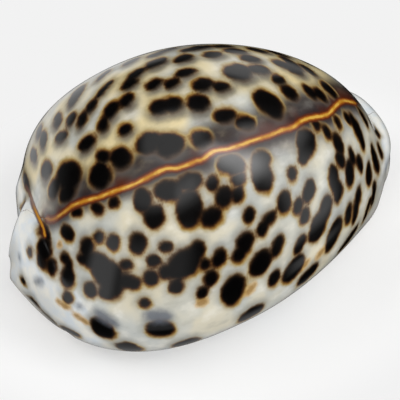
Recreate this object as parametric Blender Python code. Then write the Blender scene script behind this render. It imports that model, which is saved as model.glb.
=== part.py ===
"""Tiger cowrie shell, resting on its base: one hollow solid.

+X points to the narrow front end, -Y is the side of the outer lip and +Z is up.
The origin is the middle of the bounding box, on the plane the shell rests on.

The solid is a cylinder whose rings are wrapped into the section of the shell.
Each ring runs over the back from lip to lip, round one lip's nose, back along the
inside wall and round the other lip's nose. The slit between the noses is the aperture.
"""
import bmesh
import bpy
import numpy as np

MM = 0.001
NODE = "cowrie_shell"

# Size of the shell, in millimetres
LENGTH = 86.0
HEIGHT = 45.2
BELT = 11.9  # height of the widest line above the base
LIP_WIDTH = 31.2  # widest line to the axis, on the outer lip's side
COLUMN_WIDTH = 27.4  # and on the other side
FLAT_DEPTH = 1.6  # how far the uncut section would reach below the base
FLAT_BLEND = 1.0  # rounding where the base meets the margin
SECTION_ABOVE, SECTION_BELOW = 2.05, 2.6  # 2 is an ellipse, more is fuller

# Margin callus: the low rim that shows as a brim at both ends
RIM_OVERRUN = 1.0  # the rim's outline runs this far past the blunt ends
RIM_SKEW_LIP, RIM_SKEW_COLUMN = 0.44, -0.02
RIM_BACK_LIP, RIM_FRONT_LIP = 2.08, 2.55
RIM_BACK_COLUMN, RIM_FRONT_COLUMN = 2.0, 1.8
RIM_RISE = 9.0
COLLAR = 3.5  # the rim stands this much higher behind the dome
RIM_THIN = 0.28  # power that thins the rim towards its ends

# Dome of the last whorl
DOME_BACK, DOME_FRONT = 5.4, 4.7  # how far it stops short of each end
DOME_LEAN_BACK, DOME_LEAN_FRONT = -2.5, -1.3
DOME_SIDE_SKEW, DOME_SIDE_BACK, DOME_SIDE_FRONT = 0.29, 2.8, 2.24
DOME_TOP_SKEW, DOME_TOP_BACK, DOME_TOP_FRONT = 0.17, 2.0, 2.09
SADDLE_TOP, SADDLE_SIDE = 2.0, 6.0  # rounding of the hollow between dome and rim

# Wall and aperture
WALL_BACK = 2.6
WALL_MARGIN = 5.4
BASE_THICK = 5.0
BASE_LEAST = 1.2  # thickness left below the way out
CANAL = 2.0  # radius of the way out at each end
DROP_FRONT, DROP_REAR = 5.5, 7.2  # how far that lies below the belt
SLIT_HALF = 1.85
NOSE, NOSE_END = 3.4, 0.9  # how far a lip's nose runs into the slit
SLIT_RECESS = 1.3  # the lips beside the slit stand this far above the base
SLIT_BOW = 4.2  # the slit bows this far towards the outer lip
SLIT_HOOK = 6.2  # and turns back this far at the rear
AXIS_HOOK = 2.0  # the rear end as a whole turns back this far
END_ROUND = 3.6
NOTCH_REAR, NOTCH_FRONT, NOTCH_BASE = 1.7, 1.0, 2.2  # how far the ends stand back between lobes
REAR_LIP_LOBE = 0.5  # the rear lobe beside the outer lip runs this far past the rest
REAR_COLUMN_SHORT = 6.3  # and the other lobe stops this far short of it

# Teeth
TEETH = 24
TOOTH_SPAN = (-33.0, 35.0)
TOOTH_HEIGHT = 0.8
TOOTH_REACH_LIP, TOOTH_REACH_COLUMN = 6.0, 3.5

# Stations of the mesh
OUTER_STEPS, NOSE_STEPS, INNER_STEPS = 40, 6, 20
END_RINGS, CAP_RINGS, RINGS_PER_TOOTH = 4, 3, 2
CAP_ANGLE = 1.42  # radians the wall closes through at each end
DOME_SHARE = 0.8  # share of the rings that cross the dome
POLE_FRONT, POLE_REAR = 0.5, 0.9  # where an end closes, from the outside to the inside
BRIM_LEAST = 1.0  # least length that the rings of the brim share out

SHELL_COLOUR = (0.56, 0.50, 0.42)
SHELL_ROUGHNESS = 0.12


def smoothstep(low, high, value):
    t = np.clip((value - low) / (high - low), 0, 1)
    return t * t * (3 - 2 * t)


def rounded_max(a, b, width):
    """The larger of two lengths, rounded where they cross."""
    near = np.clip(width - np.abs(a - b), 0, None) / width
    return np.maximum(a, b) + near * near * width / 4


def outline(x, skew, back, front):
    """How wide a lengthwise outline is at x, 1 at its widest, for x from -1 to 1."""
    moved = x + skew * (1 - x * x)
    power = back + (front - back) * smoothstep(-0.6, 0.6, moved)
    return np.clip(1 - np.abs(moved) ** power, 1e-6, 1) ** (1 / power)


def upper_share(turn):
    """1 at the crest and 0 under the base."""
    return 0.5 + 0.5 * np.cos(turn)


def polar(turn, side, rise):
    """Radius of a quarter of the section, at an angle from straight up."""
    power = np.where(np.cos(turn) > 0, SECTION_ABOVE, SECTION_BELOW)
    across, upright = np.abs(np.sin(turn)) / side, np.abs(np.cos(turn)) / rise
    return (across**power + upright**power) ** (-1 / power)


def outer_radii(turn, x):
    """Radii of the dome alone and of the shell, from the axis at the belt's height."""
    lip = turn < 0
    lean = np.sin(turn)
    under = BELT + FLAT_DEPTH
    along = np.clip(x / (LENGTH / 2 + RIM_OVERRUN), -1, 1)
    rim_lip = outline(along, RIM_SKEW_LIP, RIM_BACK_LIP, RIM_FRONT_LIP)
    rim_column = outline(along, RIM_SKEW_COLUMN, RIM_BACK_COLUMN, RIM_FRONT_COLUMN)
    thin = ((rim_lip + rim_column) / 2) ** RIM_THIN
    collar = smoothstep(0.4, 0.95, -along) * (1 - smoothstep(-0.4, 1.2, turn))
    rise = RIM_RISE + COLLAR * collar
    rim_side = np.where(lip, LIP_WIDTH * rim_lip, COLUMN_WIDTH * rim_column)
    rim = polar(turn, rim_side, np.where(np.cos(turn) > 0, rise, under) * thin)
    start = -LENGTH / 2 + DOME_BACK - DOME_LEAN_BACK * lean
    end = LENGTH / 2 - DOME_FRONT + DOME_LEAN_FRONT * lean
    inside = np.clip((2 * x - start - end) / (end - start), -1, 1)
    side = np.where(lip, LIP_WIDTH, COLUMN_WIDTH)
    side = side * outline(inside, DOME_SIDE_SKEW, DOME_SIDE_BACK, DOME_SIDE_FRONT)
    top = (HEIGHT - BELT) * outline(inside, DOME_TOP_SKEW, DOME_TOP_BACK, DOME_TOP_FRONT)
    dome = polar(turn, side, np.where(np.cos(turn) > 0, top, np.minimum(top, under)))
    saddle = SADDLE_SIDE + (SADDLE_TOP - SADDLE_SIDE) * upper_share(turn)
    return dome, rounded_max(rim, dome, saddle)


def slit_line(x):
    """Y of the middle of the aperture."""
    along = x / (LENGTH / 2)
    bow = -SLIT_BOW * (1 - along * along)
    return bow + SLIT_HOOK * smoothstep(0.25, 1.0, -along)


def axis_line(x):
    """Y of the middle of the section."""
    return AXIS_HOOK * smoothstep(0.3, 1.0, -x / (LENGTH / 2))


def tooth_wave(x, shift):
    """0 between teeth and 1 on a tooth, faded out at both ends of the row."""
    low, high = TOOTH_SPAN
    phase = (x - low) / (high - low) * TEETH + shift
    wave = 0.5 - 0.5 * np.cos(2 * np.pi * phase)
    return wave * smoothstep(low - 1, low + 4, x) * smoothstep(high + 1, high - 4, x)


def wall_point(turn, nose, x, row, squeeze):
    """A point of the wall, in millimetres.

    turn is the angle from the crest, -pi to pi; nose is 0 on the outside, pi on the
    inside and between them round a lip; row is the distance along the row of teeth;
    squeeze is 1, and falls to 0 where an end closes.
    """
    column = turn > 0
    middle = 1 - smoothstep(0.72, 0.95, np.abs(x) / (LENGTH / 2))
    room = 1 - smoothstep(0.76, 0.94, np.abs(x) / (LENGTH / 2))
    lip_nose = NOSE_END + (NOSE - NOSE_END) * middle
    hand = np.where(column, 1.0, -1.0)
    depth = 0.5 - 0.5 * np.cos(nose)
    tip = np.sin(nose)
    low = smoothstep(0.55, 1.0, np.abs(turn) / np.pi)
    dome, outer = outer_radii(turn, x)
    wall = WALL_BACK + (WALL_MARGIN - WALL_BACK) * smoothstep(0.3, 0.6, np.abs(turn) / np.pi)
    wall = wall + (BASE_THICK + FLAT_DEPTH - WALL_MARGIN) * low
    inner = rounded_max(np.minimum(dome, outer) - wall, CANAL, 2.0)
    inner = np.minimum(CANAL + (inner - CANAL) * room, outer - 2.0)
    floor = rounded_max(BELT + outer * np.cos(turn), 0.0, FLAT_BLEND)
    aside = slit_line(x) + hand * (SLIT_HALF + lip_nose)
    axis = axis_line(x) * (1 - low)
    out_y = outer * np.sin(turn) + axis + aside * low
    canal_shift = (slit_line(x) - axis_line(x)) * (1 - low) * (1 - middle)
    in_aside = slit_line(x) + hand * (SLIT_HALF + lip_nose * middle)
    in_y = inner * np.sin(turn) + axis + in_aside * low + canal_shift
    rear = smoothstep(20, 40, -x)
    drop = DROP_FRONT + (DROP_REAR - DROP_FRONT) * rear
    in_z = BELT + inner * np.cos(turn) - drop * (1 - middle)
    in_z = rounded_max(in_z, BASE_LEAST, 1.0)
    reach = np.abs(out_y - slit_line(x)) - SLIT_HALF - lip_nose
    under = smoothstep(0.5, 0.62, np.abs(turn) / np.pi)
    floor = floor + SLIT_RECESS * middle * (1 - smoothstep(0.0, 7.5, reach)) * under
    pole = POLE_FRONT + (POLE_REAR - POLE_FRONT) * rear
    depth = pole + (depth - pole) * squeeze
    y = out_y + (in_y - out_y) * depth - hand * lip_nose * tip * squeeze
    z = floor + (in_z - floor) * depth
    teeth = tooth_wave(row, np.where(column, 0.5, 0.0)) * TOOTH_HEIGHT
    fade = np.where(column, TOOTH_REACH_COLUMN, TOOTH_REACH_LIP)
    teeth = teeth * (1 - smoothstep(0.3, 1.0, reach / fade)) * under
    teeth = teeth * (1 - smoothstep(0.55, 1.0, nose / np.pi))
    y = y - hand * teeth * tip
    z = z - teeth * np.cos(nose / 2) ** 2
    return y, z


def end_x(turn, rear):
    """How far an end is from the middle at an angle: it stands back above and below."""
    upper = upper_share(turn)
    notch = np.where(rear, NOTCH_REAR, NOTCH_FRONT) * upper**2 + NOTCH_BASE * (1 - upper) ** 10
    short = REAR_COLUMN_SHORT * smoothstep(0.0, 1.2, turn)
    short = short - REAR_LIP_LOBE * smoothstep(-2.2, -1.1, turn)
    return LENGTH / 2 - notch - np.where(rear, short, 0.0)


def ring_x(place, turn):
    """X of a ring at an angle, for a place from -1 to 1.

    Rings are even along the base, where the teeth are, and close up over the
    steep ends of the dome.
    """
    upper = upper_share(turn)
    rear, front = end_x(turn, True) - END_ROUND, end_x(turn, False) - END_ROUND
    low = -np.minimum(LENGTH / 2 - DOME_BACK, rear - BRIM_LEAST)
    high = np.minimum(LENGTH / 2 - DOME_FRONT, front - BRIM_LEAST)
    across = np.sin(np.pi / 2 * np.clip(place / DOME_SHARE, -1, 1))
    past = np.clip((np.abs(place) - DOME_SHARE) / (1 - DOME_SHARE), 0, 1)
    over = (low + high) / 2 + (high - low) / 2 * across
    over = over + past * np.where(place < 0, -rear - low, front - high)
    even = place * np.where(place < 0, rear, front)
    return even * (1 - upper) + over * upper


def ring_places():
    """(place, closing angle) of each ring, from the rear end to the front end."""
    reach = end_x(np.pi, False) - END_ROUND
    low, high = TOOTH_SPAN
    toothed = np.linspace(low, high, TEETH * RINGS_PER_TOOTH + 1)
    rear = np.linspace(-reach, low, END_RINGS, endpoint=False)
    front = -np.linspace(-reach, -high, END_RINGS, endpoint=False)[::-1]
    core = np.concatenate([rear, toothed, front]) / reach
    closing = CAP_ANGLE * np.arange(1, CAP_RINGS + 1) / CAP_RINGS
    places = np.concatenate([-np.ones(CAP_RINGS), core, np.ones(CAP_RINGS)])
    return places, np.concatenate([closing[::-1], np.zeros(len(core)), closing])


def section_stations():
    """(turn, nose) of each station of a ring, from the outer lip over the back."""
    over = np.linspace(-np.pi, np.pi, OUTER_STEPS + 1)
    around = np.linspace(0, np.pi, NOSE_STEPS + 1)[1:-1]
    inside = np.linspace(np.pi, -np.pi, INNER_STEPS + 1)
    turn = np.concatenate([over, 0 * around + np.pi, inside, 0 * around - np.pi])
    nose = np.concatenate([0 * over, around, 0 * inside + np.pi, around[::-1]])
    return turn, nose


def shell_points():
    """Every vertex in metres, as an array of rings by stations."""
    places, closing = ring_places()
    turn, nose = section_stations()
    place, turn = np.meshgrid(places, turn, indexing="ij")
    closing, nose = np.meshgrid(closing, nose, indexing="ij")
    x = ring_x(place, turn)
    x = x + np.sign(place) * END_ROUND * np.sin(closing) / np.sin(CAP_ANGLE)
    row = place * (end_x(np.pi, False) - END_ROUND)
    y, z = wall_point(turn, nose, x, row, np.cos(closing))
    points = np.stack([x, y, z], axis=-1)
    low, high = points.min(axis=(0, 1)), points.max(axis=(0, 1))
    points[..., :2] -= (low[:2] + high[:2]) / 2
    return points * MM


def close_end(mesh, ring):
    """Faces between the outside and the inside of an end ring, which meet lip to lip."""
    per_step = OUTER_STEPS // INNER_STEPS
    first_inside = OUTER_STEPS + NOSE_STEPS
    for step in range(INNER_STEPS):
        outside = OUTER_STEPS - step * per_step
        inside = [ring[first_inside + step], ring[first_inside + step + 1]]
        mesh.faces.new(inside + [ring[outside - k] for k in range(per_step, -1, -1)])
    mesh.faces.new(ring[OUTER_STEPS : first_inside + 1])
    mesh.faces.new(ring[first_inside + INNER_STEPS :] + ring[:1])


def wrapped_cylinder(points):
    """An open cylinder with every vertex moved to its place on the shell, then closed."""
    rings, stations = points.shape[:2]
    mesh = bmesh.new()
    bmesh.ops.create_cone(mesh, segments=stations, radius1=1, radius2=1, depth=2)
    upright = [e for e in mesh.edges if abs(e.verts[0].co.z - e.verts[1].co.z) > 1]
    bmesh.ops.subdivide_edges(mesh, edges=upright, cuts=rings - 2, use_grid_fill=True)
    first, last = [None] * stations, [None] * stations
    for vertex in mesh.verts:
        ring = round((vertex.co.z + 1) / 2 * (rings - 1))
        angle = -np.arctan2(vertex.co.y, vertex.co.x)  # turned so that faces look outwards
        station = round(angle / (2 * np.pi) * stations) % stations
        vertex.co = points[ring, station]
        if ring == 0:
            first[station] = vertex
        elif ring == rings - 1:
            last[station] = vertex
    close_end(mesh, first)
    known = set(mesh.faces)
    close_end(mesh, last)
    bmesh.ops.reverse_faces(mesh, faces=[face for face in mesh.faces if face not in known])
    for face in mesh.faces:
        face.smooth = True
    return mesh


def shell_material():
    material = bpy.data.materials.new("spotted_glaze")
    material.use_nodes = True
    shader = material.node_tree.nodes["Principled BSDF"]
    shader.inputs["Base Color"].default_value = (*SHELL_COLOUR, 1)
    shader.inputs["Roughness"].default_value = SHELL_ROUGHNESS
    shader.inputs["Metallic"].default_value = 0
    return material


def build():
    for old in list(bpy.data.objects):
        bpy.data.objects.remove(old, do_unlink=True)
    collection = bpy.data.collections.new("tiger_cowrie")
    bpy.context.scene.collection.children.link(collection)
    mesh = wrapped_cylinder(shell_points())
    data = bpy.data.meshes.new(NODE)
    mesh.to_mesh(data)
    mesh.free()
    data.materials.append(shell_material())
    collection.objects.link(bpy.data.objects.new(NODE, data))


if __name__ == "__main__":
    build()
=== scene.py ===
"""Tiger cowrie shell: the finished shell around the CAD frame, and its studio.

Lengths are in millimetres, also in the fields that colour the shell. They become metres
where they place things in Blender. +X points to the narrow front end, -Y to the outer lip's side.
"""
import math

import bmesh
import bpy
import numpy as np
from mathutils import Matrix, Vector


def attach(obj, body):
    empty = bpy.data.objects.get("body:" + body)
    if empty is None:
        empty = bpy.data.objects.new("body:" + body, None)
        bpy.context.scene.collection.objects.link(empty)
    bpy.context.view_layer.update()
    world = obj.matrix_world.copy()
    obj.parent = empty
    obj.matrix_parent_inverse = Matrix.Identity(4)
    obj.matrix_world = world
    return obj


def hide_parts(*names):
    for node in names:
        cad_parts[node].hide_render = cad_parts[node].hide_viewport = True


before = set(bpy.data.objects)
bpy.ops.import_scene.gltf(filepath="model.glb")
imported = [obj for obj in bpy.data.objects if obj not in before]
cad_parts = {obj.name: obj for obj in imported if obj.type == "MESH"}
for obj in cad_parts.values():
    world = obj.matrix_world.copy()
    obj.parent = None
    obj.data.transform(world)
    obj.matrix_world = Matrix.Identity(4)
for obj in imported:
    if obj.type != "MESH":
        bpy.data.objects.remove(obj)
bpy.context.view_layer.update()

bl_info = {
    "name": "Tiger cowrie",
    "version": (1, 0, 0),
    "blender": (4, 5, 0),
    "location": "3D View > Sidebar > Cowrie",
    "description": "Builds a spotted tiger cowrie shell and its studio",
    "category": "Add Mesh",
}

MM = 0.001
NODE = "cowrie_shell"
SLOT = "spotted_glaze"

# ---------------------------------------------------------------- form of the shell

LENGTH = 86.0
HEIGHT = 45.2
BELT = 11.9
LIP_WIDTH = 31.2
COLUMN_WIDTH = 27.4
FLAT_DEPTH = 1.6
FLAT_BLEND = 1.0
SECTION_ABOVE, SECTION_BELOW = 2.05, 2.6

RIM_OVERRUN = 1.0
RIM_SKEW_LIP, RIM_SKEW_COLUMN = 0.44, -0.02
RIM_BACK_LIP, RIM_FRONT_LIP = 2.08, 2.55
RIM_BACK_COLUMN, RIM_FRONT_COLUMN = 2.0, 1.8
RIM_RISE = 9.0
COLLAR = 3.5
RIM_THIN = 0.28

DOME_BACK, DOME_FRONT = 5.4, 4.7
DOME_LEAN_BACK, DOME_LEAN_FRONT = -2.5, -1.3
DOME_SIDE_SKEW, DOME_SIDE_BACK, DOME_SIDE_FRONT = 0.29, 2.8, 2.24
DOME_TOP_SKEW, DOME_TOP_BACK, DOME_TOP_FRONT = 0.17, 2.0, 2.09
SADDLE_TOP, SADDLE_SIDE = 2.0, 6.0

WALL_BACK = 2.6
WALL_MARGIN = 5.4
BASE_THICK = 5.0
BASE_LEAST = 1.2
CANAL = 2.0
DROP_FRONT, DROP_REAR = 5.5, 7.2
SLIT_HALF = 1.85
NOSE, NOSE_END = 3.4, 0.9
SLIT_RECESS = 1.3
SLIT_BOW = 4.2
SLIT_HOOK = 6.2
AXIS_HOOK = 2.0
END_ROUND = 3.6
NOTCH_REAR, NOTCH_FRONT, NOTCH_BASE = 1.7, 1.0, 2.2
REAR_LIP_LOBE = 0.5
REAR_COLUMN_SHORT = 6.3

TEETH = 24
TOOTH_SPAN = (-33.0, 35.0)
TOOTH_HEIGHT = 0.8
TOOTH_REACH_LIP, TOOTH_REACH_COLUMN = 6.0, 3.5

# Fineness: rings must come to SUBDIVISIONS, the two passes that cut the cylinder
OUTER_STEPS, NOSE_STEPS, INNER_STEPS = 280, 14, 70
END_RINGS, CAP_RINGS, RINGS_PER_TOOTH = 16, 14, 8
SUBDIVISIONS = (6, 35)
CAP_ANGLE = 1.5
DRAWN_IN = 0.9995  # the finer surface is drawn in by this, to stay inside its solid
DOME_SHARE = 0.8
POLE_FRONT, POLE_REAR = 0.5, 0.9
BRIM_LEAST = 1.0


def smoothstep(low, high, value):
    t = np.clip((value - low) / (high - low), 0, 1)
    return t * t * (3 - 2 * t)


def rounded_max(a, b, width):
    """The larger of two lengths, rounded where they cross."""
    near = np.clip(width - np.abs(a - b), 0, None) / width
    return np.maximum(a, b) + near * near * width / 4


def outline(x, skew, back, front):
    """How wide a lengthwise outline is at x, 1 at its widest, for x from -1 to 1."""
    moved = x + skew * (1 - x * x)
    power = back + (front - back) * smoothstep(-0.6, 0.6, moved)
    return np.clip(1 - np.abs(moved) ** power, 1e-6, 1) ** (1 / power)


def upper_share(turn):
    """1 at the crest and 0 under the base."""
    return 0.5 + 0.5 * np.cos(turn)


def polar(turn, side, rise):
    """Radius of a quarter of the section, at an angle from straight up."""
    power = np.where(np.cos(turn) > 0, SECTION_ABOVE, SECTION_BELOW)
    across, upright = np.abs(np.sin(turn)) / side, np.abs(np.cos(turn)) / rise
    return (across**power + upright**power) ** (-1 / power)


def rim_and_dome(turn, x):
    """Radii of the margin's rim and of the dome, from the axis at the belt's height."""
    lip = turn < 0
    lean = np.sin(turn)
    under = BELT + FLAT_DEPTH
    along = np.clip(x / (LENGTH / 2 + RIM_OVERRUN), -1, 1)
    rim_lip = outline(along, RIM_SKEW_LIP, RIM_BACK_LIP, RIM_FRONT_LIP)
    rim_column = outline(along, RIM_SKEW_COLUMN, RIM_BACK_COLUMN, RIM_FRONT_COLUMN)
    thin = ((rim_lip + rim_column) / 2) ** RIM_THIN
    collar = smoothstep(0.4, 0.95, -along) * (1 - smoothstep(-0.4, 1.2, turn))
    rise = RIM_RISE + COLLAR * collar
    rim_side = np.where(lip, LIP_WIDTH * rim_lip, COLUMN_WIDTH * rim_column)
    rim = polar(turn, rim_side, np.where(np.cos(turn) > 0, rise, under) * thin)
    start = -LENGTH / 2 + DOME_BACK - DOME_LEAN_BACK * lean
    end = LENGTH / 2 - DOME_FRONT + DOME_LEAN_FRONT * lean
    inside = np.clip((2 * x - start - end) / (end - start), -1, 1)
    side = np.where(lip, LIP_WIDTH, COLUMN_WIDTH)
    side = side * outline(inside, DOME_SIDE_SKEW, DOME_SIDE_BACK, DOME_SIDE_FRONT)
    top = (HEIGHT - BELT) * outline(inside, DOME_TOP_SKEW, DOME_TOP_BACK, DOME_TOP_FRONT)
    dome = polar(turn, side, np.where(np.cos(turn) > 0, top, np.minimum(top, under)))
    return rim, dome


def outer_radii(turn, x):
    """Radii of the dome alone and of the shell."""
    rim, dome = rim_and_dome(turn, x)
    saddle = SADDLE_SIDE + (SADDLE_TOP - SADDLE_SIDE) * upper_share(turn)
    return dome, rounded_max(rim, dome, saddle)


def slit_line(x):
    """Y of the middle of the aperture."""
    along = x / (LENGTH / 2)
    bow = -SLIT_BOW * (1 - along * along)
    return bow + SLIT_HOOK * smoothstep(0.25, 1.0, -along)


def axis_line(x):
    """Y of the middle of the section."""
    return AXIS_HOOK * smoothstep(0.3, 1.0, -x / (LENGTH / 2))


def tooth_wave(x, shift):
    """0 between teeth and 1 on a tooth, faded out at both ends of the row."""
    low, high = TOOTH_SPAN
    phase = (x - low) / (high - low) * TEETH + shift
    wave = 0.5 - 0.5 * np.cos(2 * np.pi * phase)
    return wave * smoothstep(low - 1, low + 4, x) * smoothstep(high + 1, high - 4, x)


def wall_point(turn, nose, x, row, squeeze):
    """Y and Z of a point of the wall.

    turn is the angle from the crest; nose is 0 on the outside, pi on the inside and
    between them round a lip; row is the distance along the teeth; squeeze falls to 0
    where an end closes.
    """
    column = turn > 0
    middle = 1 - smoothstep(0.72, 0.95, np.abs(x) / (LENGTH / 2))
    room = 1 - smoothstep(0.76, 0.94, np.abs(x) / (LENGTH / 2))
    lip_nose = NOSE_END + (NOSE - NOSE_END) * middle
    hand = np.where(column, 1.0, -1.0)
    depth = 0.5 - 0.5 * np.cos(nose)
    tip = np.sin(nose)
    low = smoothstep(0.55, 1.0, np.abs(turn) / np.pi)
    dome, outer = outer_radii(turn, x)
    wall = WALL_BACK + (WALL_MARGIN - WALL_BACK) * smoothstep(0.3, 0.6, np.abs(turn) / np.pi)
    wall = wall + (BASE_THICK + FLAT_DEPTH - WALL_MARGIN) * low
    inner = rounded_max(np.minimum(dome, outer) - wall, CANAL, 2.0)
    inner = np.minimum(CANAL + (inner - CANAL) * room, outer - 2.0)
    floor = rounded_max(BELT + outer * np.cos(turn), 0.0, FLAT_BLEND)
    aside = slit_line(x) + hand * (SLIT_HALF + lip_nose)
    axis = axis_line(x) * (1 - low)
    out_y = outer * np.sin(turn) + axis + aside * low
    canal_shift = (slit_line(x) - axis_line(x)) * (1 - low) * (1 - middle)
    in_aside = slit_line(x) + hand * (SLIT_HALF + lip_nose * middle)
    in_y = inner * np.sin(turn) + axis + in_aside * low + canal_shift
    rear = smoothstep(20, 40, -x)
    drop = DROP_FRONT + (DROP_REAR - DROP_FRONT) * rear
    in_z = BELT + inner * np.cos(turn) - drop * (1 - middle)
    in_z = rounded_max(in_z, BASE_LEAST, 1.0)
    reach = np.abs(out_y - slit_line(x)) - SLIT_HALF - lip_nose
    under = smoothstep(0.5, 0.62, np.abs(turn) / np.pi)
    floor = floor + SLIT_RECESS * middle * (1 - smoothstep(0.0, 7.5, reach)) * under
    pole = POLE_FRONT + (POLE_REAR - POLE_FRONT) * rear
    depth = pole + (depth - pole) * squeeze
    y = out_y + (in_y - out_y) * depth - hand * lip_nose * tip * squeeze
    z = floor + (in_z - floor) * depth
    teeth = tooth_wave(row, np.where(column, 0.5, 0.0)) * TOOTH_HEIGHT
    fade = np.where(column, TOOTH_REACH_COLUMN, TOOTH_REACH_LIP)
    teeth = teeth * (1 - smoothstep(0.3, 1.0, reach / fade)) * under
    teeth = teeth * (1 - smoothstep(0.55, 1.0, nose / np.pi))
    y = y - hand * teeth * tip
    z = z - teeth * np.cos(nose / 2) ** 2
    return y, z


def end_x(turn, rear):
    """How far an end is from the middle at an angle: it stands back above and below."""
    upper = upper_share(turn)
    notch = np.where(rear, NOTCH_REAR, NOTCH_FRONT) * upper**2 + NOTCH_BASE * (1 - upper) ** 10
    short = REAR_COLUMN_SHORT * smoothstep(0.0, 1.2, turn)
    short = short - REAR_LIP_LOBE * smoothstep(-2.2, -1.1, turn)
    return LENGTH / 2 - notch - np.where(rear, short, 0.0)


def ring_x(place, turn):
    """X of a ring at an angle, for a place from -1 to 1."""
    upper = upper_share(turn)
    rear, front = end_x(turn, True) - END_ROUND, end_x(turn, False) - END_ROUND
    low = -np.minimum(LENGTH / 2 - DOME_BACK, rear - BRIM_LEAST)
    high = np.minimum(LENGTH / 2 - DOME_FRONT, front - BRIM_LEAST)
    across = np.sin(np.pi / 2 * np.clip(place / DOME_SHARE, -1, 1))
    past = np.clip((np.abs(place) - DOME_SHARE) / (1 - DOME_SHARE), 0, 1)
    over = (low + high) / 2 + (high - low) / 2 * across
    over = over + past * np.where(place < 0, -rear - low, front - high)
    even = place * np.where(place < 0, rear, front)
    return even * (1 - upper) + over * upper


def ring_places():
    """(place, closing angle) of each ring, from the rear end to the front end."""
    reach = end_x(np.pi, False) - END_ROUND
    low, high = TOOTH_SPAN
    toothed = np.linspace(low, high, TEETH * RINGS_PER_TOOTH + 1)
    rear = np.linspace(-reach, low, END_RINGS, endpoint=False)
    front = -np.linspace(-reach, -high, END_RINGS, endpoint=False)[::-1]
    core = np.concatenate([rear, toothed, front]) / reach
    closing = CAP_ANGLE * np.arange(1, CAP_RINGS + 1) / CAP_RINGS
    places = np.concatenate([-np.ones(CAP_RINGS), core, np.ones(CAP_RINGS)])
    return places, np.concatenate([closing[::-1], np.zeros(len(core)), closing])


def section_stations():
    """(turn, nose) of each station of a ring, from the outer lip over the back."""
    over = np.linspace(-np.pi, np.pi, OUTER_STEPS + 1)
    around = np.linspace(0, np.pi, NOSE_STEPS + 1)[1:-1]
    inside = np.linspace(np.pi, -np.pi, INNER_STEPS + 1)
    turn = np.concatenate([over, 0 * around + np.pi, inside, 0 * around - np.pi])
    nose = np.concatenate([0 * over, around, 0 * inside + np.pi, around[::-1]])
    return turn, nose


class Form:
    """Every vertex of the shell by ring and station, with what its colour needs to know."""

    def __init__(self):
        places, closing = ring_places()
        turn, nose = section_stations()
        place, self.turn = np.meshgrid(places, turn, indexing="ij")
        closing, self.nose = np.meshgrid(closing, nose, indexing="ij")
        x = ring_x(place, self.turn)
        x = x + np.sign(place) * END_ROUND * np.sin(closing) / np.sin(CAP_ANGLE)
        row = place * (end_x(np.pi, False) - END_ROUND)
        y, z = wall_point(self.turn, self.nose, x, row, np.cos(closing))
        points = np.stack([x, y, z], axis=-1)
        low, high = points.min(axis=(0, 1)), points.max(axis=(0, 1))
        points[..., :2] -= (low[:2] + high[:2]) / 2
        points *= DRAWN_IN
        self.points = points
        rim, dome = rim_and_dome(self.turn, x)
        self.brim = rim - dome
        self.outside = self.nose < 1e-6
        around = np.roll(points, -1, axis=1) - np.roll(points, 1, axis=1)
        along = np.gradient(points, axis=0)
        normals = np.cross(along, around)
        length = np.linalg.norm(normals, axis=-1, keepdims=True)
        self.normals = normals / np.maximum(length, 1e-9)


# ---------------------------------------------------------------- markings

GLOBE_MIDDLE = np.array([0.0, 0.0, 14.0])  # bearings and heights are seen from here
PLACED_SIDE = np.array([-0.332, -0.624, 0.707])  # spots on this side are placed one by one
FAR = 9.0  # distances to the spots are cut off here

# (bearing, height, half length, half width, tilt from the shell's length) of each spot,
# in whole degrees and tenths of a millimetre
REAR_SPOTS = (
    (-178, 32, 3.6, 3.0, -60), (-174, 28, 2.6, 1.8, -20), (179, 25, 2.2, 1.8, 0),
    (170, 25, 2.2, 1.8, -80), (179, 43, 2.0, 1.6, 0), (-170, 44, 1.6, 1.3, -80),
    (-165, 39, 2.8, 2.4, 70), (-162, 47, 2.5, 2.0, -80), (-171, 55, 1.4, 1.3, 0),
    (-154, 56, 2.5, 2.2, 0), (172, 55, 2.2, 1.6, 40), (171, 61, 1.9, 1.4, 40),
    (177, 51, 1.9, 1.2, 50), (161, 49, 1.8, 1.2, 30), (166, 45, 1.8, 1.2, 40),
    (161, 41, 1.7, 1.1, 40), (165, 36, 1.8, 1.2, -60), (155, 35, 2.2, 1.2, 60),
    (157, 27, 2.4, 1.2, 60), (157, 20, 2.6, 1.2, 70), (158, 9, 3.6, 1.2, 60),
    (163, 3, 3.4, 1.2, 60), (155, 63, 1.9, 1.4, 20), (163, 71, 1.8, 1.4, 20),
    (168, 77, 1.7, 1.2, 10), (-167, 68, 2.0, 1.8, 20), (-160, 72, 2.0, 1.8, 0),
    (-160, 31, 1.4, 1.1, -70), (-155, 35, 1.0, 0.9, 0), (-167, 26, 1.3, 0.9, -40),
    (-176, 13, 2.0, 1.0, 80), (-172, 10, 2.4, 1.6, 70), (-167, 8, 1.8, 1.1, 70),
    (-171, 7, 1.6, 1.0, 80), (-167, 19, 1.9, 1.3, -70), (-164, 12, 1.4, 1.1, -40),
    (-162, 11, 1.3, 0.9, 50), (-161, 8, 2.0, 1.5, 50), (-159, 3, 1.1, 0.9, 60),
    (-177, 6, 0.9, 0.9, 0), (-179, -6, 1.0, 1.0, 0), (-176, -12, 3.6, 1.3, 90),
    (-168, -12, 2.6, 1.2, 50), (-159, -11, 2.2, 1.2, 40), (-155, 24, 1.0, 1.0, 0),
    (-158, 19, 2.0, 1.5, 50), (-157, 16, 2.0, 1.2, -20), (-153, 17, 3.0, 1.8, -30),
    (-153, 8, 1.5, 1.3, 60),
)
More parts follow.
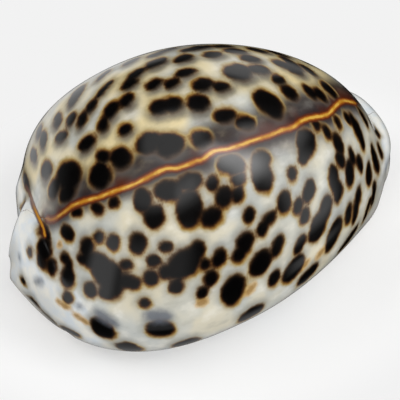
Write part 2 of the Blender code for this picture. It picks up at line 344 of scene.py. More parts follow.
LIP_SPOTS = (
    (-150, 24, 1.5, 1.2, 60), (-149, 15, 3.0, 2.6, -30), (-147, 12, 2.8, 2.4, 60),
    (-148, 9, 1.8, 1.5, 0), (-143, 14, 1.6, 1.4, 0), (-141, 14, 1.4, 1.2, 0),
    (-144, 19, 1.2, 1.0, 0), (-142, 26, 2.0, 1.6, 70), (-148, -3, 2.8, 2.2, -50),
    (-141, -10, 2.4, 2.0, -20), (-143, 58, 2.9, 2.4, 0), (-132, 77, 2.2, 2.0, 0),
    (-140, 86, 2.2, 1.6, 0), (-145, 39, 2.2, 1.6, 80), (-139, 35, 2.2, 1.8, 70),
    (-137, 8, 1.0, 1.0, 0), (-136, 44, 2.6, 1.8, -20), (-136, 22, 1.2, 1.2, 0),
    (-136, 16, 1.5, 1.3, 70), (-133, 26, 1.2, 1.0, 0), (-132, 18, 1.3, 1.3, 0),
    (-132, -1, 2.7, 1.9, -20), (-129, 19, 1.8, 1.8, 0), (-128, 13, 1.6, 1.4, 80),
    (-127, 48, 2.4, 1.6, 0), (-126, 39, 3.5, 2.4, 70), (-126, 21, 3.0, 2.8, 30),
    (-125, -11, 2.6, 1.6, 0), (-122, 63, 2.0, 1.8, 0), (-122, 25, 2.0, 1.5, 60),
    (-120, 9, 1.2, 1.1, 80), (-119, 20, 1.0, 1.0, 0), (-117, 36, 2.2, 1.8, 0),
    (-117, 14, 1.7, 1.4, 70), (-116, 48, 1.4, 1.1, 70), (-114, 21, 1.8, 1.4, 60),
    (-110, 43, 2.0, 1.7, 60), (-109, 6, 3.4, 2.5, 70), (-106, 20, 1.6, 1.4, 60),
    (-103, 54, 2.8, 1.8, -20), (-103, 43, 1.6, 1.2, 60), (-103, 25, 1.9, 1.5, 20),
    (-103, 22, 1.3, 1.2, 0), (-101, 48, 1.5, 1.1, 0), (-102, -9, 2.8, 1.8, 10),
    (-99, 34, 1.4, 1.1, 60), (-97, 72, 2.3, 1.6, 0), (-97, 13, 2.8, 2.4, 60),
    (-94, 27, 1.5, 1.1, 70), (-91, 3, 1.8, 1.2, 60), (-89, 30, 1.6, 1.1, 20),
    (-88, 17, 2.2, 1.3, 60), (-86, 46, 2.8, 2.2, 80), (-84, 52, 2.4, 1.8, 30),
    (-81, 1, 3.2, 2.0, 30), (-79, 67, 2.0, 1.5, -20), (-79, 33, 2.2, 1.6, 70),
    (-76, 11, 2.1, 1.2, 50), (-73, -8, 3.0, 1.6, 10), (-72, 28, 1.6, 1.2, 70),
    (-70, 22, 1.7, 1.2, 70), (-68, 41, 1.4, 1.0, 80), (-64, 84, 1.8, 1.3, 0),
    (-64, 12, 3.2, 2.4, 50), (-63, 30, 2.2, 1.5, 60), (-57, 17, 2.6, 1.8, 60),
    (-56, 1, 3.4, 1.8, 50), (-55, 43, 1.6, 1.3, 50), (-52, 3, 1.8, 1.4, 50),
    (-48, 45, 2.8, 2.4, 60), (-47, 21, 1.5, 1.2, 70), (-47, 17, 2.0, 1.3, 70),
    (-46, 25, 2.2, 1.4, 80), (-44, 3, 2.2, 1.2, 70), (-44, -11, 3.4, 1.2, 10),
    (-43, 65, 3.6, 2.6, -70), (-40, 0, 2.2, 1.0, 70), (-38, 26, 1.9, 1.2, -70),
    (-37, 18, 2.8, 1.6, 80), (-36, 5, 2.0, 1.2, 70), (-34, 44, 1.3, 0.9, -60),
    (-33, 38, 1.6, 1.0, -70), (-33, 31, 2.2, 1.4, -70), (-31, 21, 1.8, 0.9, -80),
    (-31, -7, 2.6, 0.9, 60),
)
FRONT_SPOTS = (
    (-29, 15, 2.0, 1.0, -80), (-26, 6, 2.4, 1.3, 80), (-26, -4, 3.0, 1.0, 80),
    (-24, 34, 1.5, 0.8, -80), (-22, 57, 2.1, 1.6, -60), (-19, 22, 4.0, 1.3, -80),
    (-19, 6, 3.4, 1.2, -80), (-18, 29, 1.4, 0.8, -80), (-15, 47, 2.0, 1.3, -60),
    (-14, 42, 2.0, 1.3, -60), (-14, 4, 1.6, 0.7, -80), (-10, 18, 2.4, 0.9, -70),
    (-8, 36, 2.4, 1.4, -60), (-8, 9, 2.6, 1.0, -50), (0, 77, 3.0, 2.5, 0), (4, 42, 2.2, 1.0, -60),
    (8, 48, 2.8, 1.2, -60), (-11, 61, 1.6, 1.3, -40), (1, 50, 2.0, 1.4, -40),
    (1, 67, 2.2, 1.6, -20), (7, 54, 2.2, 1.3, -30), (18, 66, 2.0, 1.4, -20),
    (20, 47, 2.2, 1.0, -30), (27, 55, 2.2, 1.2, -30),
)
FAR_SPOTS = (
    (36, 65, 2.2, 1.4, -20), (50, 62, 2.2, 1.2, 0), (80, 68, 1.8, 1.0, 0), (95, 62, 1.8, 1.0, 10),
    (108, 63, 2.0, 1.0, 10), (122, 57, 2.0, 1.0, 20), (135, 50, 2.2, 0.8, 30),
    (55, 74, 2.0, 1.4, 0), (68, 66, 2.2, 1.4, 0), (98, 75, 2.2, 1.4, 20), (124, 69, 2.6, 1.5, 20),
    (136, 82, 2.0, 1.2, 0), (142, 65, 2.2, 1.2, 20), (146, 42, 3.4, 1.6, 40),
    (150, 24, 2.2, 1.2, 60), (152, 54, 2.6, 0.8, 20),
)
SPOTS = REAR_SPOTS + LIP_SPOTS + FRONT_SPOTS + FAR_SPOTS

# the same of each spot that lies deep in the enamel of the margin
SUNK_SPOTS = (
    (-133, 3, 3.0, 1.6, -20), (-147, 1, 3.0, 1.4, -40), (-155, 2, 0.9, 0.8, 0),
    (-171, 0, 2.2, 1.0, 0), (178, -1, 1.0, 0.7, 0),
)

# the same of each golden smear
GILDED = (
    (-168, 14, 0.6, 0.5, 0), (-160, 0, 1.6, 0.6, -20), (-154, -2, 1.8, 0.6, -20),
    (-120, 5, 1.2, 0.8, 0), (-102, 3, 1.5, 0.7, 30), (-74, -1, 1.0, 0.5, 20),
    (-65, -2, 1.4, 0.6, 20),
)

# (bearing, height) along the dorsal line, from the rear, and along the streak below its end
DORSAL_LINE = (
    (-178, 16), (-175, 18), (-172, 22), (-169, 27), (-165, 31), (-161, 34), (-159, 36),
    (-154, 40), (-150, 43), (-145, 47), (-140, 50), (-133, 52), (-126, 55), (-121, 56),
    (-114, 59), (-103, 60), (-90, 60), (-79, 60), (-66, 58), (-55, 56), (-47, 53), (-40, 51),
    (-34, 48), (-28, 43), (-23, 39), (-16, 35), (-10, 30), (-6, 22),
)
REAR_STREAK = (
    (158, 8), (164, 10), (171, 12), (178, 13), (-178, 13), (-175, 12),
)

PATH_STEPS = 6  # points of a line for each stretch between two of its list
MERGE = 0.8  # width of the soft join between two spots
SPOT_DEPTH = 1.5  # how deep a spot reaches, in its own half lengths
FRINGE_SHIFT = 0.4  # a spot's fringe is moved this far away from the dorsal line
VEIL_SHIFT = 0.8  # and its veil this far towards it
SHIFT_WHOLE = 1.5  # half width from which a spot's fringe and veil are shifted in full

# Scattered spots of the other sides
SEED = 11
SCATTER_TRIES = 2600
SCATTER_SIZE = (0.9, 2.2)
SCATTER_ROOM = (0.0, 1.2)
SCATTER_LOWEST = 7.0
BIG_SHARE, BIG_SIZE = 0.08, 1.5
SCATTER_LONGEST, SCATTER_SPACING = 1.35, 1.15
SIDE_LIMIT = 0.12
LINE_ROOM = 1.0


def direction(bearing, height):
    """Unit vector at a bearing from +X and a height above level, in degrees."""
    b, h = math.radians(bearing), math.radians(height)
    return np.array([math.cos(b) * math.cos(h), math.sin(b) * math.cos(h), math.sin(h)])


def tangents(normal):
    """Unit directions in the surface: forwards along the shell, and across it."""
    forwards = np.array([1.0, 0.0, 0.0]) - normal[0] * normal
    forwards /= max(np.linalg.norm(forwards), 1e-6)
    return forwards, np.cross(normal, forwards)


def smooth_union(field, other, width):
    """The smaller of two distances, joined softly."""
    share = np.clip(0.5 + 0.5 * (other - field) / width, 0, 1)
    return other + (field - other) * share - width * share * (1 - share)


def smooth_path(points):
    """A smooth curve through points, as a finer row of points."""
    points = np.array(points)
    padded = np.vstack([2 * points[0] - points[1], points, 2 * points[-1] - points[-2]])
    share = np.linspace(0, 1, PATH_STEPS, endpoint=False)[:, None]
    pieces = []
    for a, b, c, d in zip(padded, padded[1:], padded[2:], padded[3:]):
        bend = 2 * a - 5 * b + 4 * c - d + share * (3 * b - 3 * c + d - a)
        pieces.append(b + share / 2 * (c - a + share * bend))
    return np.vstack([*pieces, points[-1:]])


class Markings:
    """Distances to the markings at every vertex of the outside."""

    def __init__(self, form):
        self.form = form
        flat = form.points.reshape(-1, 3)
        self.known = np.flatnonzero(form.outside.ravel())
        self.points = flat[self.known]
        self.normals = form.normals.reshape(-1, 3)[self.known]
        rays = self.points - GLOBE_MIDDLE
        self.rays = rays / np.linalg.norm(rays, axis=1, keepdims=True)
        self.path = smooth_path([self.locate(*place)[0] for place in DORSAL_LINE])
        self.streak = smooth_path([self.locate(*place)[0] for place in REAR_STREAK])

    def locate(self, bearing, height):
        """The point and normal of the shell in a direction from its middle."""
        closeness = self.rays @ direction(bearing, height)
        near = np.argpartition(closeness, -4)[-4:]
        weight = 1 / (1 - closeness[near] + 1e-7)
        normal = weight @ self.normals[near]
        return weight @ self.points[near] / weight.sum(), normal / np.linalg.norm(normal)

    def spread(self, values, fallback):
        """Values at the outside's vertices as one value for every vertex of the shell."""
        whole = np.full(self.form.turn.size, float(fallback))
        whole[self.known] = values
        return whole

    def ellipse(self, centre, normal, size, tilt, field):
        """Joins one elliptical spot to a field of distances."""
        reach = max(size) + FAR
        near = np.flatnonzero(((self.points - centre) ** 2).sum(1) < reach * reach)
        offset = self.points[near] - centre
        forwards, across = tangents(normal)
        t = math.radians(tilt)
        first = offset @ (forwards * math.cos(t) + across * math.sin(t))
        second = offset @ (across * math.cos(t) - forwards * math.sin(t))
        third = offset @ normal
        depth = max(size) * SPOT_DEPTH
        scaled = np.sqrt((first / size[0]) ** 2 + (second / size[1]) ** 2 + (third / depth) ** 2)
        steep = np.sqrt(
            (first / size[0] ** 2) ** 2 + (second / size[1] ** 2) ** 2 + (third / depth**2) ** 2
        )
        gap = scaled * (scaled - 1) / np.maximum(steep, 1e-6)
        gap = np.where(scaled < 0.05, -min(size), gap)
        field[near] = smooth_union(field[near], np.minimum(gap, FAR), MERGE)

    def curve(self, path):
        """Distance to a line on the shell, less than 0 on one side of it."""
        best = np.full(len(self.points), np.inf)
        side = np.ones(len(self.points))
        for start, end in zip(path[:-1], path[1:]):
            step = end - start
            share = np.clip((self.points - start) @ step / (step @ step), 0, 1)
            away = self.points - start - share[:, None] * step
            gap = np.linalg.norm(away, axis=1)
            closer = gap < best
            best = np.where(closer, gap, best)
            turned = (np.cross(step, away) * self.normals).sum(1)
            side = np.where(closer, np.sign(turned), side)
        return best * side

    def away_from_line(self, centre, normal):
        """Unit direction in the surface, from the dorsal line to a spot."""
        nearest = self.path[np.argmin(((self.path - centre) ** 2).sum(1))]
        away = centre - nearest
        away = away - (away @ normal) * normal
        return away / max(np.linalg.norm(away), 1e-6)

    def scattered(self, rng, taken):
        """Spots for the sides that the listed ones don't reach."""
        spots = []
        for _ in range(SCATTER_TRIES):
            pick = rng.integers(len(self.points))
            centre, normal = self.points[pick], self.normals[pick]
            size = rng.uniform(*SCATTER_SIZE)
            if rng.random() < BIG_SHARE:
                size *= BIG_SIZE
            shape = (size * rng.uniform(1.0, SCATTER_LONGEST), size)
            tilt = rng.uniform(-90, 90)
            if normal @ PLACED_SIDE > SIDE_LIMIT or centre[2] < SCATTER_LOWEST:
                continue
            if self.form.brim.ravel()[self.known[pick]] > 0:
                continue
            room = [np.linalg.norm(centre - c) - r - size * SCATTER_SPACING for c, r in taken]
            if min(room) < rng.uniform(*SCATTER_ROOM):
                continue
            taken.append((centre, size * SCATTER_SPACING))
            spots.append((centre, normal, shape, tilt))
        return spots

    def fields(self):
        rng = np.random.default_rng(SEED)
        spots = []
        for bearing, height, long, wide, tilt in SPOTS:
            centre, normal = self.locate(bearing, height)
            spots.append((centre, normal, (long, wide), tilt))
        taken = [(centre, max(size)) for centre, _, size, _ in spots]
        taken += [(point, LINE_ROOM) for point in self.path]
        spots += self.scattered(rng, taken)
        core = np.full(len(self.points), FAR)
        fringe, veil, ghost, gilt = (core.copy() for _ in range(4))
        for centre, normal, size, tilt in spots:
            away = self.away_from_line(centre, normal)
            self.ellipse(centre, normal, size, tilt, core)
            shift = away * min(1.0, min(size) / SHIFT_WHOLE)
            self.ellipse(centre + shift * FRINGE_SHIFT, normal, size, tilt, fringe)
            self.ellipse(centre - shift * VEIL_SHIFT, normal, size, tilt, veil)
        for rows, field in ((SUNK_SPOTS, ghost), (GILDED, gilt)):
            for bearing, height, long, wide, tilt in rows:
                centre, normal = self.locate(bearing, height)
                self.ellipse(centre, normal, (long, wide), tilt, field)
        line, streak = self.curve(self.path), self.curve(self.streak)
        return {
            "core": self.spread(core, FAR),
            "fringe": self.spread(fringe, FAR),
            "veil": self.spread(veil, FAR),
            "ghost": self.spread(ghost, FAR),
            "gilt": self.spread(gilt, FAR),
            "line": self.spread(line, FAR * 4),
            "streak": self.spread(np.abs(streak), FAR * 4),
        }


# ---------------------------------------------------------------- mesh


def add_zipper(mesh, ring, outwards):
    """Closes an end ring lip to lip: faces between its outside and its inside."""
    per_step = OUTER_STEPS // INNER_STEPS
    first_inside = OUTER_STEPS + NOSE_STEPS
    loops = [ring[OUTER_STEPS : first_inside + 1], ring[first_inside + INNER_STEPS :] + ring[:1]]
    for step in range(INNER_STEPS):
        outside = OUTER_STEPS - step * per_step
        inside = [ring[first_inside + step], ring[first_inside + step + 1]]
        loops.append(inside + [ring[outside - k] for k in range(per_step, -1, -1)])
    for loop in loops:
        mesh.faces.new(loop if outwards else loop[::-1])


def shell_mesh(form):
    """A cylinder, cut into rings and wrapped into the sections of the shell."""
    rings, stations = form.turn.shape
    bpy.ops.object.select_all(action="DESELECT")
    bpy.ops.mesh.primitive_cylinder_add(
        vertices=stations, radius=1, depth=2, end_fill_type="NOTHING", location=(0, 0, 0)
    )
    shell = bpy.context.object
    bpy.ops.object.mode_set(mode="EDIT")
    bpy.ops.mesh.select_mode(type="EDGE")
    for cuts in SUBDIVISIONS:
        bpy.ops.mesh.select_all(action="DESELECT")
        mesh = bmesh.from_edit_mesh(shell.data)
        for edge in mesh.edges:
            a, b = edge.verts
            edge.select_set(abs(a.co.z - b.co.z) > 0.001)
        bmesh.update_edit_mesh(shell.data)
        bpy.ops.mesh.subdivide(number_cuts=cuts, quadcorner="STRAIGHT_CUT")
    mesh = bmesh.from_edit_mesh(shell.data)
    points = form.points * MM
    first, last = [None] * stations, [None] * stations
    numbers = np.zeros(len(mesh.verts), int)
    for number, vertex in enumerate(mesh.verts):
        ring = round((vertex.co.z + 1) / 2 * (rings - 1))
        angle = -math.atan2(vertex.co.y, vertex.co.x)
        station = math.floor(angle / (2 * math.pi) * stations) % stations
        numbers[number] = ring * stations + station
        vertex.co = points[ring, station]
        if ring == 0:
            first[station] = vertex
        elif ring == rings - 1:
            last[station] = vertex
    add_zipper(mesh, first, True)
    add_zipper(mesh, last, False)
    bmesh.update_edit_mesh(shell.data)
    bpy.ops.object.mode_set(mode="OBJECT")
    bpy.ops.object.shade_smooth()
    return shell, numbers


def store(shell, name, values):
    attribute = shell.data.attributes.new(name, "FLOAT", "POINT")
    attribute.data.foreach_set("value", values.astype(np.float32))


# ---------------------------------------------------------------- materials


def srgb(red, green, blue):
    """Linear colour of a display colour from 0 to 255."""
    parts = [v / 255 for v in (red, green, blue)]
    return tuple(v / 12.92 if v <= 0.04045 else ((v + 0.055) / 1.055) ** 2.4 for v in parts)


class Term:
    """A socket that takes part in sums."""

    def __init__(self, nodes, socket):
        self.nodes, self.socket = nodes, socket

    def math(self, operation, *others):
        values = [other.socket if isinstance(other, Term) else other for other in others]
        return self.nodes.math(operation, self.socket, *values)

    def __add__(self, other):
        return self.math("ADD", other)

    def __sub__(self, other):
        return self.math("SUBTRACT", other)

    def __rsub__(self, other):
        return self.nodes.math("SUBTRACT", other, self.socket)

    def __mul__(self, other):
        return self.math("MULTIPLY", other)

    def __truediv__(self, other):
        return self.math("DIVIDE", other)

    def __abs__(self):
        return self.math("ABSOLUTE")

    def squared(self):
        return self * self

    def root(self):
        return self.math("SQRT")

    __radd__ = __add__
    __rmul__ = __mul__

    def step(self, start, end):
        """0 at start and 1 at end, smooth between them; start may be the larger."""
        low, high = min(start, end), max(start, end)
        rising = self.nodes.add(
            "ShaderNodeMapRange",
            {"interpolation_type": "SMOOTHSTEP"},
            {"Value": self, "From Min": low, "From Max": high},
        )
        return rising if start < end else 1.0 - rising


class Nodes:
    """Adds the nodes of one material or world."""

    def __init__(self, tree):
        self.tree = tree

    def add(self, kind, settings=None, inputs=None, output=0):
        node = self.tree.nodes.new(kind)
        for name, value in (settings or {}).items():
            setattr(node, name, value)
        for name, value in (inputs or {}).items():
            socket = node.inputs[name]
            if isinstance(value, Term):
                self.tree.links.new(value.socket, socket)
            elif isinstance(value, tuple) and len(value) == 3 and socket.type == "RGBA":
                socket.default_value = (*value, 1.0)
            else:
                socket.default_value = value
        return Term(self, node.outputs[output])

    def math(self, operation, *values):
        terms = {}
        for number, value in enumerate(values):
            terms[number] = Term(self, value) if isinstance(value, bpy.types.NodeSocket) else value
        return self.add("ShaderNodeMath", {"operation": operation}, terms)

    def attribute(self, name):
        return self.add("ShaderNodeAttribute", {"attribute_name": name}, output="Fac")

    def position(self):
        return self.add("ShaderNodeTexCoord", output="Object")

    def split(self, vector):
        """X and Y of a vector."""
        node = self.add("ShaderNodeSeparateXYZ", {}, {"Vector": vector}).socket.node
        return [Term(self, node.outputs[number]) for number in (0, 1)]

    def noise(self, size, detail=2.0, stretch=None):
        """Noise from 0 to 1 whose lumps are about size millimetres across."""
        place = self.position()
        if stretch:
            place = self.add("ShaderNodeMapping", {}, {"Vector": place, "Scale": stretch})
        inputs = {"Vector": place, "Scale": 1 / (size * MM), "Detail": detail}
        return self.add("ShaderNodeTexNoise", {}, inputs)

    def mix(self, share, first, second):
        """First colour where share is 0 and second where it is 1."""
        node = self.tree.nodes.new("ShaderNodeMix")
        node.data_type = "RGBA"
        for number, value in ((0, share), (6, first), (7, second)):
            if isinstance(value, Term):
                self.tree.links.new(value.socket, node.inputs[number])
            elif number:
                node.inputs[number].default_value = (*value, 1.0)
            else:
                node.inputs[number].default_value = value
        return Term(self, node.outputs[2])

    def blend(self, share, first, second):
        """First shader where share is 0 and second where it is 1."""
        node = self.tree.nodes.new("ShaderNodeMixShader")
        for number, value in enumerate((share, first, second)):
            self.tree.links.new(value.socket, node.inputs[number])
        return Term(self, node.outputs[0])


def shell_material(look):
    """Cream and bluish white under a clear glaze, with the markings laid on in order."""
    material = bpy.data.materials.new(SLOT)
    material.use_nodes = True
    shader = material.node_tree.nodes["Principled BSDF"]
    n = Nodes(material.node_tree)
    core, fringe, veil = n.attribute("core"), n.attribute("fringe"), n.attribute("veil")
    line, ghost, gilt = n.attribute("line"), n.attribute("ghost"), n.attribute("gilt")
    margin, base = n.attribute("margin"), n.attribute("base")
    fine = n.noise(1.1, 3.0) - 0.5
    cloud = n.noise(8.0, 2.0)
    patch = n.noise(14.0, 1.0)
    mottle = n.noise(3.0, 3.0, (0.6, 1.0, 1.0))
    flare = n.noise(6.0, 1.0)

    ground = n.mix(cloud.step(0.38, 0.62), look["cream"], look["grey"])
    ground = n.mix(mottle.step(0.5, 0.75) * 0.5, ground, look["milk"])
    ground = n.mix(mottle.step(0.45, 0.3) * 0.25, ground, look["pearl"])
    marbled = n.mix(mottle.step(0.3, 0.7), look["blue_white"], look["milk"])

    swung = line + (n.noise(7.0, 2.0) - 0.5) * 0.5
    brush = n.noise(1.2, 3.0) - 0.5
    width = abs(swung) + brush * 0.4
    behind = swung.step(-0.3, 0.5)
    ground = n.mix(patch.step(0.45, 0.62) * (behind * 0.7 + 0.12), ground, look["straw"])
    ground = n.mix(margin * 0.85, ground, marbled)

    ragged = (n.noise(2.4, 2.0) - 0.5) * 1.1
    core, fringe, veil = core + ragged, fringe + ragged, veil + ragged
    shade = (core + veil) * 0.5 + fine * 0.5
    haze = n.mix(behind * 0.8, look["pearl"], look["sepia"])
    colour = n.mix(shade.step(2.4, 0.2) * (behind * 0.15 + 0.6), ground, haze)
    veiled = mottle.step(0.68, 0.45) * 0.14
    along, aside = (part / MM for part in n.split(n.position()))
    before = width.step(7.5, 2.0) * (1.0 - behind) * along.step(-20, -8)
    colour = n.mix(before * (veiled + 0.66), colour, look["mauve"])
    above = width.step(8.5, 3.5) * behind * along.step(-38, -32)
    colour = n.mix(above * (veiled + 0.82), colour, look["plum"])
    colour = n.mix(width.step(3.4, 1.0) * 0.9, colour, look["plum"])
    ember = width.step(4.5, 1.0) * behind * flare.step(0.42, 0.6)
    colour = n.mix(ember * 0.6, colour, look["rust"])

    dull = (veil - fringe).step(0.5, -0.9) * (behind * 0.55 + 0.4)
    colour = n.mix(veil.step(1.3, -0.7) * dull * 0.75, colour, look["ash"])
    gilded = (1.0 - dull) * (flare.step(0.42, 0.62) * 0.45 + 0.55)
    edge = fringe + fine * 0.45
    colour = n.mix(edge.step(1.2, 0.3) * gilded, colour, look["olive"])
    colour = n.mix(edge.step(0.6, 0.1) * gilded, colour, look["amber"])
    smear = gilt + fine * 0.9
    colour = n.mix(smear.step(0.9, 0.0) * 0.7, colour, look["honey"])
    colour = n.mix(smear.step(0.3, -0.4) * 0.7, colour, look["amber"])
    dark = core + fine * 0.35
    colour = n.mix(dark.step(0.75, 0.0) * (1.0 - dull * 0.75), colour, look["umber"])
    colour = n.mix(dark.step(0.4, -0.25) * (1.0 - dull * 0.55), colour, look["bark"])
    dusk = dark + dull * 0.15
    colour = n.mix(dusk.step(0.1, -0.6) * (1.0 - dull * 0.5), colour, look["spot"])
    colour = n.mix(dusk.step(0.4, -1.1), colour, look["spot"])
    colour = n.mix((ghost + fine * 0.8).step(1.0, -1.2) * 0.85, colour, look["steel"])

    worn = along.step(-38, -30) * 0.75 + 0.25
    colour = n.mix(width.step(1.2, 0.7) * 0.9, colour, look["rust"])
    colour = n.mix(width.step(0.75, 0.35) * worn, colour, look["gold_edge"])
    glow = n.noise(2.6, 2.0).step(0.38, 0.62)
    gold = n.mix(glow, look["gold"], look["gold_light"])
    colour = n.mix(width.step(0.42, 0.1) * worn, colour, gold)

    streak = n.attribute("streak") + brush * 0.3
    kept = aside.step(-5.5, -4)
    colour = n.mix(streak.step(0.75, 0.35) * kept * 0.85, colour, look["rust"])
    low = aside.step(6.5, 3) * kept * 0.85 + 0.15
    colour = n.mix(streak.step(0.42, 0.1) * kept * low, colour, look["gold"])
    colour = n.mix(base, colour, look["base"])
    n.tree.links.new(colour.socket, shader.inputs["Base Color"])

    ripple = n.noise(7.0, 1.0)
    bump = n.add("ShaderNodeBump", {}, {"Height": ripple, "Distance": 0.0001, "Strength": 1.0})
    n.tree.links.new(bump.socket, shader.inputs["Normal"])
    rough = 0.3 + base * 0.05 + n.noise(3.0, 2.0) * 0.06
    n.tree.links.new(rough.socket, shader.inputs["Roughness"])
    shader.inputs["Specular IOR Level"].default_value = 0.2
    n.tree.links.new(streak.step(0.9, 2.2).socket, shader.inputs["Coat Weight"])
    shader.inputs["Coat Roughness"].default_value = 0.05
    shader.inputs["Coat IOR"].default_value = 1.5
    return material


def floor_material(colour):
    """Pale paper: flat and bright to the eye, with the shell's shadow on it."""
    material = bpy.data.materials.new("pale_paper")
    material.use_nodes = True
    tree = material.node_tree
    n = Nodes(tree)
    paper = tree.nodes["Principled BSDF"]
    paper.inputs["Base Color"].default_value = (*colour, 1)
    paper.inputs["Roughness"].default_value = 0.9
    paper.inputs["Specular IOR Level"].default_value = 0.0
    plain = n.add("ShaderNodeEmission", {}, {"Color": colour, "Strength": 1.0})
    clear = n.add("ShaderNodeBsdfTransparent")
    seen = n.add("ShaderNodeLightPath", {}, {}, "Is Camera Ray")
    mirrored = n.add("ShaderNodeLightPath", {}, {}, "Is Glossy Ray")
    x, y = n.split(n.position())
    away = ((x / (SHADOW_REACH[0] * MM)).squared() + (y / (SHADOW_REACH[1] * MM)).squared()).root()
    share = seen * (FLOOR_PLAIN + away.step(0.95, 1.3) * (1.0 - FLOOR_PLAIN))
    mixed = n.blend(share, Term(n, paper.outputs[0]), plain)
    mixed = n.blend(mirrored, mixed, clear)
    tree.links.new(mixed.socket, tree.nodes["Material Output"].inputs["Surface"])
    return material


# ---------------------------------------------------------------- studio

CAMERA_AZIMUTH, CAMERA_HEIGHT, CAMERA_DISTANCE = -28.0, 45.0, 400.0
VIEW_WIDTH = 81.5  # millimetres across the view at the aim
CAMERA_SHIFT = (-0.02, -0.06)  # shares of the view's width
CAMERA_AIM = 18.0  # height of the point that the camera faces
SENSOR = 36.0
FLOOR_PLAIN = 0.45  # share of plain brightness in the floor beside the shell
SHADOW_REACH = (52.0, 42.0)  # half axes of the ellipse where the floor starts to turn plain
PAPER = srgb(242, 242, 242)
WORLD_FILL = 0.42

# name: (bearing, height, distance, width, height of panel, brightness)
PANELS = {
    "key_panel": (-47, 34, 600, 300, 520, 3.6),
    "top_panel": (-60, 80, 600, 520, 520, 1.3),
    "left_panel": (155, 45, 700, 500, 500, 2.0),
    "low_panel": (-155, 10, 600, 400, 180, 2.4),
}

# Soft boxes as the glaze mirrors them: (bearing, height, half width, half height,
# softness of the edge, brightness), in degrees but for the last
MIRRORED = (
    (-45, 46, 9, 18, 8, 4.0),
    (-27, 35, 17, 18, 5, 1.0),
    (-32, -6, 10, 22, 5, 0.75),
    (0, 90, 181, 21, 5, 0.7),
    (-110, 57, 67, 12, 5, 0.6),
    (-88, 48, 12, 8, 6, 0.7),
    (44, 24, 11, 9, 4, 0.9),
    (46, 4, 12, 10, 5, 0.4),
    (98, -15, 30, 20, 6, 0.58),
    (-166, 2, 14, 24, 6, 0.8),
    (-118, -2, 30, 28, 8, 0.3),
    (134, -24, 10, 14, 5, 0.5),
    (0, -90, 181, 30, 6, 0.22),
)


def add_panel(name, bearing, height, distance, width, tall, brightness):
    """A soft box that faces the shell."""
    light = bpy.data.lights.new(name, "AREA")
    light.shape = "RECTANGLE"
    light.size, light.size_y = width * MM, tall * MM
    light.energy = brightness * math.pi * light.size * light.size_y
    panel = bpy.data.objects.new(name, light)
    bpy.context.scene.collection.objects.link(panel)
    out = Vector(direction(bearing, height))
    facing = out.to_track_quat("Z", "Y").to_matrix().to_4x4()
    panel.matrix_world = Matrix.Translation(out * distance * MM) @ facing
    panel.visible_camera = False
    panel.visible_glossy = False
    return panel


def add_world():
    """An even studio, in whose dome the glaze mirrors the soft boxes."""
    world = bpy.data.worlds.new("studio")
    bpy.context.scene.world = world
    world.use_nodes = True
    n = Nodes(world.node_tree)
    seen = n.add("ShaderNodeLightPath", {}, {}, "Is Camera Ray")
    mirrored = n.add("ShaderNodeLightPath", {}, {}, "Is Glossy Ray")
    outwards = n.add("ShaderNodeTexCoord", output="Generated")
    x = n.add("ShaderNodeSeparateXYZ", {}, {"Vector": outwards})
    y, z = (Term(n, x.socket.node.outputs[number]) for number in (1, 2))
    height = z.math("ARCSINE") * math.degrees(1)
    glow = 0.0
    for bearing, middle, half_width, half_height, soft, brightness in MIRRORED:
        turn = math.radians(bearing)
        ahead = x * math.cos(turn) + y * math.sin(turn)
        aside = y * math.cos(turn) - x * math.sin(turn)
        across = abs(aside.math("ARCTAN2", ahead)) * math.degrees(1)
        upright = abs(height - float(middle))
        share = across.step(half_width + soft, half_width - soft)
        share = share * upright.step(half_height + soft, half_height - soft)
        glow = share * brightness + glow
    level = (1.0 - seen) * (1.0 - mirrored) * WORLD_FILL + mirrored * glow
    lit = n.mix(seen, (1.0, 1.0, 1.0), PAPER)
    background = world.node_tree.nodes["Background"]
    world.node_tree.links.new(lit.socket, background.inputs["Color"])
    world.node_tree.links.new((level + seen).socket, background.inputs["Strength"])


def add_camera():
    lens = bpy.data.cameras.new("camera")
    camera = bpy.data.objects.new("camera", lens)
    bpy.context.scene.collection.objects.link(camera)
    a, e = math.radians(CAMERA_AZIMUTH), math.radians(CAMERA_HEIGHT)
    back = Vector((math.sin(a) * math.cos(e), -math.cos(a) * math.cos(e), math.sin(e)))
    right = Vector((math.cos(a), math.sin(a), 0))
    turned = Matrix((right, back.cross(right), back)).transposed().to_4x4()
    aim = Vector((0, 0, CAMERA_AIM))
    camera.matrix_world = Matrix.Translation((aim + back * CAMERA_DISTANCE) * MM) @ turned
    lens.sensor_width = SENSOR
    lens.lens = SENSOR * CAMERA_DISTANCE / VIEW_WIDTH
    lens.shift_x, lens.shift_y = CAMERA_SHIFT
    lens.clip_start = 0.01
    bpy.context.scene.camera = camera


# ---------------------------------------------------------------- add-on


def colour_property(name, description, default):
    return bpy.props.FloatVectorProperty(
        name=name, description=description, subtype="COLOR", size=3, min=0, max=1, default=default
    )


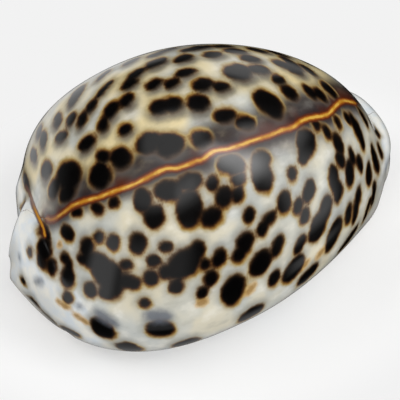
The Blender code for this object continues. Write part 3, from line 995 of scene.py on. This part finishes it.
LOOKS = {
    "cream": ("Cream", "Warm ground of the back", srgb(210, 204, 184)),
    "grey": ("Grey white", "Cool ground of the back", srgb(190, 192, 186)),
    "straw": ("Straw", "Yellow patches of the ground", srgb(224, 204, 148)),
    "milk": ("Milk", "Lightest mottling", srgb(232, 230, 222)),
    "pearl": ("Pearl", "Grey of the ground beside a spot", srgb(146, 146, 138)),
    "sepia": ("Sepia", "Brown of the ground beside a spot behind the line", srgb(126, 114, 84)),
    "blue_white": ("Blue white", "Ground of the margins", srgb(212, 220, 227)),
    "steel": ("Steel", "Spots sunk in the enamel", srgb(92, 98, 108)),
    "mauve": ("Mauve", "Veil before the dorsal line", srgb(84, 76, 74)),
    "ash": ("Ash", "Soft side of a spot", srgb(78, 76, 74)),
    "olive": ("Olive", "Outer fringe of a spot", srgb(168, 146, 92)),
    "honey": ("Honey", "Golden smears and their edges", srgb(196, 158, 92)),
    "amber": ("Amber", "Bright parts of a spot's fringe", srgb(140, 104, 46)),
    "umber": ("Umber", "Inner fringe of a spot", srgb(84, 50, 20)),
    "bark": ("Bark", "Brown rim of a spot", srgb(36, 20, 9)),
    "spot": ("Spot", "Middle of a spot", srgb(4, 3, 3)),
    "plum": ("Plum", "Dark veil behind the dorsal line", srgb(44, 34, 35)),
    "rust": ("Rust", "Flanks of the dorsal line", srgb(84, 34, 12)),
    "gold_edge": ("Gold edge", "Edge of the dorsal line", srgb(146, 78, 20)),
    "gold": ("Gold", "Dorsal line", srgb(178, 122, 28)),
    "gold_light": ("Light gold", "Bright parts of the dorsal line", srgb(208, 164, 68)),
    "base": ("Base", "Underside and teeth", srgb(232, 228, 220)),
}


class CowrieSettings(bpy.types.PropertyGroup):
    __annotations__ = {key: colour_property(*entry) for key, entry in LOOKS.items()}


class COWRIE_OT_shell(bpy.types.Operator):
    """Build the spotted shell in place of its plain solid"""

    bl_idname = "cowrie.shell"
    bl_label = "Cowrie shell"

    def execute(self, context):
        settings = context.scene.cowrie
        form = Form()
        shell, numbers = shell_mesh(form)
        shell.name = shell.data.name = "spotted_shell"
        for name, values in Markings(form).fields().items():
            store(shell, name, values[numbers])
        height = form.points[..., 2]
        turned = np.abs(form.turn) / np.pi
        base = np.where(form.outside, smoothstep(0.6, 0.68, turned), 1.0)
        margin = np.maximum(smoothstep(9.0, 3.0, height), smoothstep(0.0, 1.2, form.brim))
        store(shell, "base", base.ravel()[numbers])
        store(shell, "margin", margin.ravel()[numbers])
        look = {key: tuple(getattr(settings, key)) for key in LOOKS}
        shell.data.materials.append(shell_material(look))
        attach(shell, "root")
        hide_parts(NODE)
        return {"FINISHED"}


class COWRIE_OT_stage(bpy.types.Operator):
    """Lay the pale floor and set the soft lights and the camera"""

    bl_idname = "cowrie.stage"
    bl_label = "Stage"

    def execute(self, context):
        bpy.ops.object.select_all(action="DESELECT")
        bpy.ops.mesh.primitive_plane_add(size=4.0, location=(0, 0, 0))
        floor = context.object
        floor.name = "floor"
        floor.data.materials.append(floor_material(PAPER))
        panels = [add_panel(name, *facts) for name, facts in PANELS.items()]
        add_world()
        add_camera()
        context.scene.view_settings.view_transform = "Standard"
        return {"FINISHED"}


class COWRIE_PT_panel(bpy.types.Panel):
    bl_label = "Tiger cowrie"
    bl_idname = "COWRIE_PT_panel"
    bl_space_type = "VIEW_3D"
    bl_region_type = "UI"
    bl_category = "Cowrie"

    def draw(self, context):
        for operator in OPERATORS:
            self.layout.operator(operator.bl_idname)
        for key in LOOKS:
            self.layout.prop(context.scene.cowrie, key)


OPERATORS = (COWRIE_OT_shell, COWRIE_OT_stage)
CLASSES = (CowrieSettings, *OPERATORS, COWRIE_PT_panel)


def register():
    for kind in CLASSES:
        bpy.utils.register_class(kind)
    bpy.types.Scene.cowrie = bpy.props.PointerProperty(type=CowrieSettings)


def unregister():
    del bpy.types.Scene.cowrie
    for kind in reversed(CLASSES):
        bpy.utils.unregister_class(kind)


def plain(bounds):
    return [[float(value) for value in corner] for corner in bounds]


def main():
    register()
    bpy.ops.cowrie.shell()
    bpy.ops.cowrie.stage()


if __name__ == "__main__":
    main()
